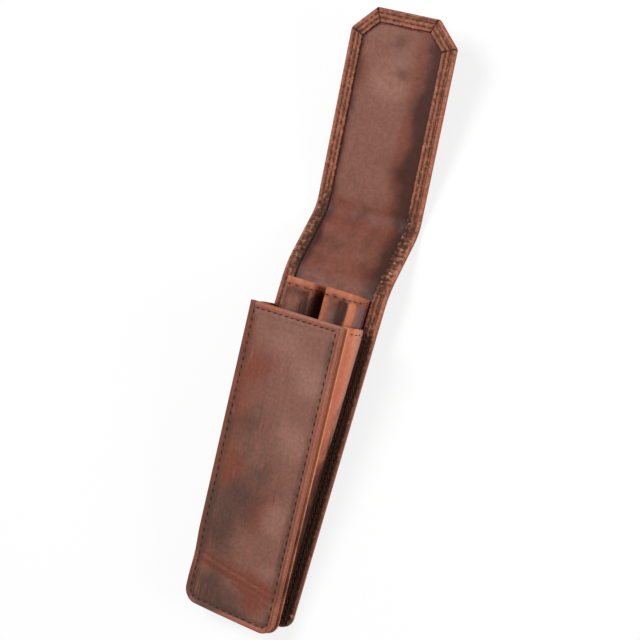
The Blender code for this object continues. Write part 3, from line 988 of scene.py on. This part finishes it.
def sleeve_point(side, share, across):
    """Share runs from a sleeve's bottom to its mouth."""
    edge = 0.05
    along = between(SLEEVE_BOTTOM, SLEEVE_TOP, share)
    half = between(SLEEVE_HALF_BOTTOM, SLEEVE_HALF_TOP, share)
    depth = between(SLEEVE_DEPTH_BOTTOM, SLEEVE_DEPTH_TOP, share)
    floor = LINING_TOP + GAP + SLEEVE / 2
    turn = min(max((across - edge) / (1 - 2 * edge), 0), 1)
    angle = pi * turn
    swing = -abs(cos(angle)) ** SLEEVE_SQUARENESS * (1 if angle < pi / 2 else -1)
    lift = abs(sin(angle)) ** SLEEVE_SQUARENESS
    soft = wander(along, turn * 0.03, 13, 50.0 + side)
    x = half * swing * (1 - 0.03 * soft * lift)
    under_hem = ramp(SLEEVE_TOP - along, 2.2, 5)
    depth += 0.5 * MM * under_hem * (hump(turn - 0.82, 0.16) - 1.1 * hump(turn - 0.6, 0.16))
    x += 0.5 * MM * under_hem * hump(turn - 0.9, 0.12)
    if across < edge:
        x -= SLEEVE_FLANGE * (1 - across / edge)
    if across > 1 - edge:
        x += SLEEVE_FLANGE * (1 - (1 - across) / edge)
    z = floor + (depth + SLEEVE / 2) * lift * (1 + 0.05 * soft)
    return fold(Vector((side * SLEEVE_SPACING / 2 + x, along, z)))


# Bands across the left and the right sleeve: middle and reach, then how dark, red and pale; they are painted
# light: the dark is painted shade, the red painted highlight on the lit parts and the pale painted sheen
SLEEVE_LIGHT_BANDS = {
    -1: (
        (0.32, 0.20, 0.5, 0.3, 0.0),
        (0.47, 0.13, 0.3, 0.1, 0.3),
        (0.62, 0.16, 0.8, 0.2, 0.0),
        (0.88, 0.32, 1.0, 0.0, 0.0),
    ),
    1: (
        (0.36, 0.18, 0.1, 0.6, 0.0),
        (0.60, 0.16, 0.9, 0.1, 0.0),
        (0.77, 0.14, 0.0, 1.0, 0.0),
        (0.92, 0.13, 0.0, 0.0, 1.0),
    ),
}


def sleeve_tone(side, rim, across):
    """Dark along the hem's row, with bands of painted shade, painted highlight and painted sheen that are full
    only under the hem.
    """
    tone = Vector((0.45 * hump(rim - HEM_DROP, 0.6 * MM), 0, 0))
    for middle, reach, *colours in SLEEVE_LIGHT_BANDS[side]:
        start = rim - 0.12 * (across - middle) ** 2
        under_hem = 0.25 + 0.75 * ramp(start, 2.6, 3.8)
        tone += under_hem * hump(across - middle, reach) * Vector(colours)
    return capped(*tone)


def sleeve(name, side):
    """One pen's sleeve and the row of stitching along its mouth."""
    apart = 0.05 * side

    def surface(share, across):
        return sleeve_point(side, share, across)

    def place(share, across):
        flat = Vector((across * SLEEVE_WIDTH + apart, share * SLEEVE_LENGTH, 0))
        rim = (1 - share) * SLEEVE_LENGTH
        return surface(share, across), flat, rim, sleeve_tone(side, rim, across)

    sheet = shaped_grid(130, 56, place, SLEEVE)
    settle(f"{name}_leather", sheet, None, POCKET, [name])

    row = new_row()
    share, first, width, pitches = 1 - HEM_DROP / SLEEVE_LENGTH, 0.12, 0.76, 8
    for step in range(pitches + 1):
        across = first + width * step / pitches
        sew_hem(row, surface, share, across, Vector((0, 0, 1)), SLEEVE / 2)
    hem = name.replace("sleeve", "sleeve_hem")
    settle(f"{name}_stitches", row, None, THREAD, [hem])


# Materials

LEATHER_SPECULAR = 0.12


def fill(tree, node, inputs):
    """Joins each input of a node to a socket, or sets its value."""
    for key, value in inputs.items():
        if isinstance(value, bpy.types.NodeSocket):
            tree.links.new(value, node.inputs[key])
        else:
            node.inputs[key].default_value = value


def add(tree, kind, inputs=None, **settings):
    """Adds a shader node, sets it up, fills its inputs and returns its outputs."""
    node = tree.nodes.new(f"ShaderNode{kind}")
    for key, value in settings.items():
        setattr(node, key, value)
    fill(tree, node, inputs or {})
    return node.outputs


def maths(tree, operation, first, second=0.5):
    return add(tree, "Math", {0: first, 1: second}, operation=operation)[0]


def times(tree, first, second):
    return maths(tree, "MULTIPLY", first, second)


def spread(tree, value, low, high, to_low=0.0, to_high=1.0):
    """Maps a range of a value onto another, smoothly."""
    names = ("Value", "From Min", "From Max", "To Min", "To Max")
    inputs = dict(zip(names, (value, low, high, to_low, to_high)))
    return add(tree, "MapRange", inputs, interpolation_type="SMOOTHSTEP")[0]


def mottle(tree, place, scale, detail, roughness=0.55, distortion=0.0):
    names = ("Vector", "Scale", "Detail", "Roughness", "Distortion")
    inputs = dict(zip(names, (place, scale, detail, roughness, distortion)))
    return add(tree, "TexNoise", inputs)["Fac"]


def blend_colours(tree, factor, first, second):
    return add(tree, "Mix", {0: factor, 6: first, 7: second}, data_type="RGBA")[2]


def new_group(name, result, **given):
    """A shader node group: its tree, the sockets that it is given, and its output's node."""
    group = bpy.data.node_groups.new(name, "ShaderNodeTree")
    sockets = [(socket, kind, "INPUT") for kind, names in given.items() for socket in names]
    for socket, kind, way in (*sockets, (*result, "OUTPUT")):
        group.interface.new_socket(name=socket, in_out=way, socket_type=f"NodeSocket{kind}")
    return group, group.nodes.new("NodeGroupInput").outputs, group.nodes.new("NodeGroupOutput")


def use(tree, group, *inputs):
    """Adds a group's node, with its inputs in the group's own order."""
    return add(tree, "Group", dict(enumerate(inputs)), node_tree=group)[0]


def patches(tree, place, scale, ragged, tone, bias):
    """A mask that grows where the leather's tone asks for it, with a ragged or soft edge."""
    uneven = maths(tree, "SUBTRACT", mottle(tree, place, scale, 4.0, 0.55, 0.3), 0.5)
    asked = times(tree, tone, 0.62)
    total = maths(tree, "ADD", times(tree, uneven, ragged), asked)
    return spread(tree, maths(tree, "ADD", total, bias), 0.08, 0.5)


def waxed_colour_group():
    """Waxed leather: redder, paler and darker patches where the tone asks for them, which carry painted shade and
    painted highlights as well as the leather's own tone; fine streaks and speckles.
    """
    group, given, result = new_group(
        "waxed colour and painted light",
        ("Color", "Color"),
        Vector=("Place", "Tone"),
        Color=("Body", "Red", "Dark", "Pale"),
        Float=("Patch Scale", "Raggedness", "Red Bias", "Dark Bias", "Pale Bias"),
    )
    place, scale, ragged = given["Place"], given["Patch Scale"], given["Raggedness"]
    dark, red, pale = add(group, "SeparateXYZ", {0: given["Tone"]})
    apart = add(group, "Mapping", {"Vector": place, "Location": (0.3, 0.1, 0.0)})[0]
    layers = (
        ("Red", place, scale, red),
        ("Pale", apart, times(group, scale, 1.4), pale),
        ("Dark", place, times(group, scale, 2.2), dark),
    )
    colour = given["Body"]
    for name, where, size, tone in layers:
        mask = patches(group, where, size, ragged, tone, given[f"{name} Bias"])
        colour = blend_colours(group, mask, colour, given[name])
    drawn = add(group, "Mapping", {"Vector": place, "Scale": (1.0, 0.07, 1.0)})[0]
    streak = spread(group, mottle(group, drawn, 620.0, 3.0, 0.6), 0.3, 0.7, 0.97, 1.03)
    speckle = spread(group, mottle(group, place, 650.0, 5.0, 0.65), 0.3, 0.7, 0.87, 1.13)
    strength = times(group, streak, speckle)
    shaded = add(group, "VectorMath", {0: colour, "Scale": strength}, operation="SCALE")[0]
    fill(group, result, {"Color": shaded})
    return group


def grain_group():
    """The pores and pebbles of the hide, and the softer waves under them."""
    group, given, result = new_group(
        "hide grain", ("Height", "Float"), Vector=["Place"], Float=["Pebble Scale", "Pebbles"]
    )
    place = given["Place"]
    warp = add(group, "TexNoise", {"Vector": place, "Scale": 500.0, "Detail": 2.0})["Color"]
    shift = add(group, "VectorMath", {0: warp, "Scale": 0.0006}, operation="SCALE")[0]
    warped = add(group, "VectorMath", {0: place, 1: shift}, operation="ADD")[0]
    pebbles = {"Vector": warped, "Scale": given["Pebble Scale"]}
    cells = add(group, "TexVoronoi", pebbles, feature="DISTANCE_TO_EDGE")["Distance"]
    pebble = times(group, spread(group, cells, 0.0, 0.22), given["Pebbles"])
    soft = times(group, mottle(group, place, 320.0, 5.0, 0.62), 0.9)
    fill(group, result, {"Height": maths(group, "ADD", pebble, soft)})
    return group


def rub_group():
    """Where a rim is rubbed: full on the edge, broken up further in."""
    group, given, result = new_group(
        "rubbed rim", ("Mask", "Float"), Vector=["Place"], Float=["Rim", "Width"]
    )
    ragged = mottle(group, given["Place"], 420.0, 4.0, 0.7)
    width = times(group, given["Width"], spread(group, ragged, 0.3, 0.7, 0.5, 1.5))
    share = maths(group, "DIVIDE", given["Rim"], width)
    fill(group, result, {"Mask": spread(group, share, 0.35, 1.0, 1.0, 0.0)})
    return group


def scratch_group():
    """Thin pale scratches that run mostly along the leather."""
    group, given, result = new_group(
        "scratches", ("Mask", "Float"), Vector=["Place"], Float=["Amount"]
    )
    place = given["Place"]
    total = None
    for turn, scale in ((0.15, 260.0), (-0.5, 210.0), (1.9, 300.0)):
        drawn = {"Vector": place, "Rotation": (0, 0, turn), "Scale": (1.0, 0.05, 1.0)}
        lines = mottle(group, add(group, "Mapping", drawn)[0], scale, 2.0, 0.5, 0.4)
        off = maths(group, "ABSOLUTE", maths(group, "SUBTRACT", lines, 0.5))
        thin = spread(group, off, 0.0, 0.014, 1.0, 0.0)
        where = spread(group, mottle(group, place, 55.0 + 20 * turn, 2.0), 0.48, 0.68)
        part = times(group, thin, where)
        total = part if total is None else maths(group, "MAXIMUM", total, part)
    fill(group, result, {"Mask": times(group, total, given["Amount"])})
    return group


def new_material(name):
    material = bpy.data.materials.new(name)
    material.use_nodes = True
    tree = material.node_tree
    return material, tree, tree.nodes["Principled BSDF"]


def stored(tree, name, output):
    return add(tree, "Attribute", attribute_name=name)[output]


def leather(name, tints, patch, biases, rim_width, grain, roughness, scratches):
    """A waxed leather: its patches, pores and scratches, and its rubbed rim."""
    body, red, dark, pale, rubbed = [(*tint, 1) for tint in tints]
    pebble_scale, pebbles, depth = grain
    material, tree, surface = new_material(name)
    place, tone = stored(tree, "flat", "Vector"), stored(tree, "tone", "Vector")
    worn = use(tree, RUBBED, place, stored(tree, "rim", "Fac"), rim_width)
    ground = blend_colours(tree, worn, body, rubbed)
    colour = use(tree, WAXED_AND_PAINTED_LIGHT, place, tone, ground, red, dark, pale, *patch, *biases)
    lines = use(tree, SCRATCHES, place, scratches)
    pores = use(tree, GRAIN, place, pebble_scale, pebbles)
    height = maths(tree, "SUBTRACT", pores, times(tree, lines, 0.5))
    bump = add(tree, "Bump", {"Height": height, "Strength": 0.7, "Distance": depth})[0]
    waxed = mottle(tree, place, 150.0, 4.0, 0.6)
    looks = {
        "Base Color": blend_colours(tree, lines, colour, rubbed),
        "Normal": bump,
        "Roughness": spread(tree, waxed, 0.3, 0.7, roughness - 0.09, roughness + 0.09),
        "Specular IOR Level": LEATHER_SPECULAR,
    }
    fill(tree, surface, looks)
    return material


def thread_material(name, dark, light):
    """Waxed twisted thread."""
    material, tree, surface = new_material(name)
    coordinates = add(tree, "UVMap", uv_map="ply")[0]
    twist = {"Vector": coordinates, "Scale": 2.2, "Distortion": 0.6, "Detail": 1.0}
    plies = add(tree, "TexWave", twist, bands_direction="DIAGONAL")["Fac"]
    bump = {"Height": plies, "Strength": 0.5, "Distance": 0.0001}
    looks = {
        "Base Color": blend_colours(tree, plies, (*dark, 1), (*light, 1)),
        "Normal": add(tree, "Bump", bump)[0],
        "Roughness": 0.6,
        "Specular IOR Level": LEATHER_SPECULAR,
    }
    fill(tree, surface, looks)
    return material


def steel_material():
    """The magnets' brushed faces."""
    material, tree, surface = new_material("magnet steel")
    place = add(tree, "TexCoord")["Object"]
    stretched = add(tree, "Mapping", {"Vector": place, "Scale": (1, 0.04, 1)})[0]
    brushed = mottle(tree, stretched, 3000.0, 3.0, 0.6)
    looks = {
        "Base Color": blend_colours(tree, brushed, (0.5, 0.5, 0.51, 1), (0.62, 0.62, 0.63, 1)),
        "Roughness": spread(tree, brushed, 0.2, 0.8, 0.28, 0.42),
        "Metallic": 1.0,
    }
    fill(tree, surface, looks)
    return material


WAXED_AND_PAINTED_LIGHT = waxed_colour_group()
GRAIN = grain_group()
RUBBED = rub_group()
SCRATCHES = scratch_group()

# Each leather's tints are its body, red, dark, pale and rubbed colours; a border's red is brown
# On the front the pale of these tints colours its painted sheen and highlight, and the dark its painted shade
OUTER_TINTS = (
    (0.192, 0.084, 0.062),
    (0.165, 0.049, 0.030),
    (0.080, 0.040, 0.029),
    (0.265, 0.128, 0.098),
    (0.300, 0.098, 0.060),
)
# The lining's dark also colours its painted shade, and its pale colours its painted highlight
LINING_TINTS = (
    (0.190, 0.078, 0.055),
    (0.155, 0.044, 0.026),
    (0.046, 0.013, 0.008),
    (0.265, 0.126, 0.094),
    (0.085, 0.022, 0.014),
)
WORN_EDGE = (0.420, 0.135, 0.070)
# The border's dark also colours its painted shade, and its pale colours its painted highlights
BORDER_TINTS = (
    (0.310, 0.104, 0.064),
    (0.130, 0.047, 0.024),
    (0.036, 0.015, 0.010),
    (0.520, 0.250, 0.155),
    (0.390, 0.125, 0.074),
)
# The gusset's dark colours its painted shade, and its pale colours its painted reflection
GUSSET_TINTS = (
    (0.540, 0.190, 0.108),
    (0.440, 0.115, 0.055),
    (0.050, 0.016, 0.011),
    (0.440, 0.215, 0.170),
    (0.560, 0.205, 0.108),
)
# The sleeve's dark colours its painted shade, its red its painted highlights and its pale its painted sheen
SLEEVE_TINTS = (
    (0.200, 0.066, 0.040),
    (0.520, 0.170, 0.086),
    (0.045, 0.017, 0.012),
    (0.220, 0.118, 0.110),
    (0.400, 0.130, 0.068),
)

# A grain is the scale of its pebbles, how much they show, and the depth of its bump
FINE = (1500.0, 0.25, 0.00007)
COARSE = (850.0, 1.0, 0.00022)

# Each leather: its tints, the scale and raggedness of its patches, how far the red, dark and pale
# ones spread, the width of its rubbed rim, its grain, its roughness and its scratches
OUTER = leather(
    "outer leather", OUTER_TINTS, (34.0, 0.9), (0.12, 0.06, 0.08), 0.0012, FINE, 0.50, 0.5
)
FACING = leather(
    "front leather", OUTER_TINTS, (34.0, 0.55), (0.06, 0.05, 0.04), 0.0034, FINE, 0.50, 0.65
)
INNER = leather(
    "lining leather", LINING_TINTS, (38.0, 0.45), (0.06, 0.04, 0.06), 0.0010, FINE, 0.45, 0.2
)
LINED_TINTS = (*LINING_TINTS[:4], WORN_EDGE)
LINED = leather(
    "front lining leather", LINED_TINTS, (38.0, 0.45), (0.08, 0.03, 0.08), 0.0010, FINE, 0.45, 0.15
)
EDGING = leather(
    "border leather", BORDER_TINTS, (260.0, 1.1), (0.10, 0.12, 0.08), 0.0011, COARSE, 0.56, 0.2
)
SIDE = leather(
    "gusset leather", GUSSET_TINTS, (45.0, 0.7), (0.06, 0.02, 0.06), 0.0040, FINE, 0.46, 0.08
)
POCKET = leather(
    "sleeve leather", SLEEVE_TINTS, (45.0, 0.7), (0.04, 0.02, 0.02), 0.0034, FINE, 0.40, 0.3
)
THREAD = thread_material("waxed thread", (0.018, 0.007, 0.005), (0.060, 0.022, 0.014))
BORDER_THREAD = thread_material("border thread", (0.040, 0.017, 0.010), (0.120, 0.050, 0.028))
STEEL = steel_material()


# Build

outer_leather("back_leather", 0, SPLIT, ["back_shell", "spine_shell"], "back fold")
outer_leather("flap_leather", SPLIT, TIP, ["flap_shell"], "flap fold")
lining_leather("back_lining_leather", 0, SPLIT, ["back_lining", "spine_lining"], "back fold")
lining_leather("flap_lining_leather", SPLIT, TIP, ["flap_lining"], "flap fold")

BACK_RUNS = (
    ("border_left_leather", ["back_border_left", "spine_border_left"]),
    ("border_bottom_leather", ["back_border_bottom"]),
    ("border_right_leather", ["back_border_right", "spine_border_right"]),
)
FLAP_RUNS = [
    (f"flap_border_{run}_leather", [f"flap_border_{run}"])
    for run in ("right", "right_corner", "tip", "left_corner", "left")
]
borders(BACK_CHAIN, BACK_RUNS, "back fold")
borders(FLAP_CHAIN, FLAP_RUNS, "flap fold")


BACK_SEAMS = seams("back_seam", "spine_seam_left", "spine_seam_right")
FLAP_SEAMS = seams("flap_seam")
case_stitches("back_inner_stitches", BACK_CHAIN, True, BACK_SEAMS, "back fold")
case_stitches("back_outer_stitches", BACK_CHAIN, False, [], "back fold")
case_stitches("flap_inner_stitches", FLAP_CHAIN, True, FLAP_SEAMS, "flap fold")
case_stitches("flap_outer_stitches", FLAP_CHAIN, False, [], "flap fold")

front_panel()
front_lining()
front_stitches()
gusset()
gusset_stitches()
sleeve("sleeve_left", -1)
sleeve("sleeve_right", 1)

for magnet in ("flap_magnet", "front_magnet"):
    disc = frame["nodes"][magnet]
    disc.data.materials.clear()
    disc.data.materials.append(STEEL)


# Floor, light and camera

WHITE = (1, 1, 1, 1)
LAMP_DISTANCE = 0.9
LAMP_SIZE = 0.35
CAMERA_PLACE = Vector((0.3458, -0.0313, 0.7053))
CAMERA_LOOK = Vector((-0.44754, 0.03791, -0.89346))
CAMERA_UP = Vector((-0.26092, 0.95009, 0.17101))
CAMERA_LENS = 102.67
CAMERA_SENSOR = 36.0


def table():
    """A plain white surface that keeps the case's shadow."""
    plane = bmesh.new()
    bmesh.ops.create_grid(plane, x_segments=1, y_segments=1, size=3.0)
    mesh = bpy.data.meshes.new("table")
    plane.to_mesh(mesh)
    plane.free()
    material, tree, surface = new_material("table white")
    matt = {"Base Color": (0.86, 0.86, 0.86, 1), "Roughness": 0.9, "Specular IOR Level": 0.1}
    fill(tree, surface, matt)
    paper = add(tree, "Emission", {"Color": WHITE, "Strength": 1.0})[0]
    seen = times(tree, add(tree, "LightPath")["Is Camera Ray"], 0.82)
    mixed = add(tree, "MixShader", {0: seen, 1: surface.outputs[0], 2: paper})[0]
    fill(tree, tree.nodes["Material Output"], {"Surface": mixed})
    mesh.materials.append(material)
    floor = link("table", mesh)


def lamp(name, direction, energy):
    """A square soft light that faces the case."""
    data = bpy.data.lights.new(name, "AREA")
    data.size = LAMP_SIZE
    data.energy = energy
    light = link(name, data)
    light.location = direction.normalized() * LAMP_DISTANCE
    light.rotation_euler = direction.to_track_quat("Z", "Y").to_euler()


def studio():
    """Soft light from overhead and one side, and a white surround where it is seen."""
    world = bpy.data.worlds.new("studio")
    bpy.context.scene.world = world
    world.use_nodes = True
    tree = world.node_tree
    tree.nodes.clear()
    rays = add(tree, "LightPath")
    seen = maths(tree, "MAXIMUM", rays["Is Camera Ray"], rays["Is Transmission Ray"])
    seen = maths(tree, "MAXIMUM", seen, rays["Is Glossy Ray"])
    dim = add(tree, "Background", {"Color": WHITE, "Strength": 0.3})[0]
    bright = add(tree, "Background", {"Color": WHITE, "Strength": 1.0})[0]
    mixed = add(tree, "MixShader", {0: seen, 1: dim, 2: bright})[0]
    add(tree, "OutputWorld", {"Surface": mixed})

    lamp("overhead", Vector((-0.36, 0.20, 1.0)), 6.6)
    lamp("side", Vector((1.0, 0.05, 0.42)), 4.2)


def camera():
    """Looks at the open case as the photograph does."""
    data = bpy.data.cameras.new("camera")
    data.sensor_width = CAMERA_SENSOR
    data.lens = CAMERA_LENS
    view = link("camera", data)
    look = CAMERA_LOOK.normalized()
    right = look.cross(CAMERA_UP).normalized()
    axes = Matrix((right, right.cross(look), -look)).transposed().to_4x4()
    view.matrix_world = Matrix.Translation(CAMERA_PLACE) @ axes
    bpy.context.scene.camera = view


table()
studio()
camera()
bpy.context.scene.view_settings.view_transform = "Standard"
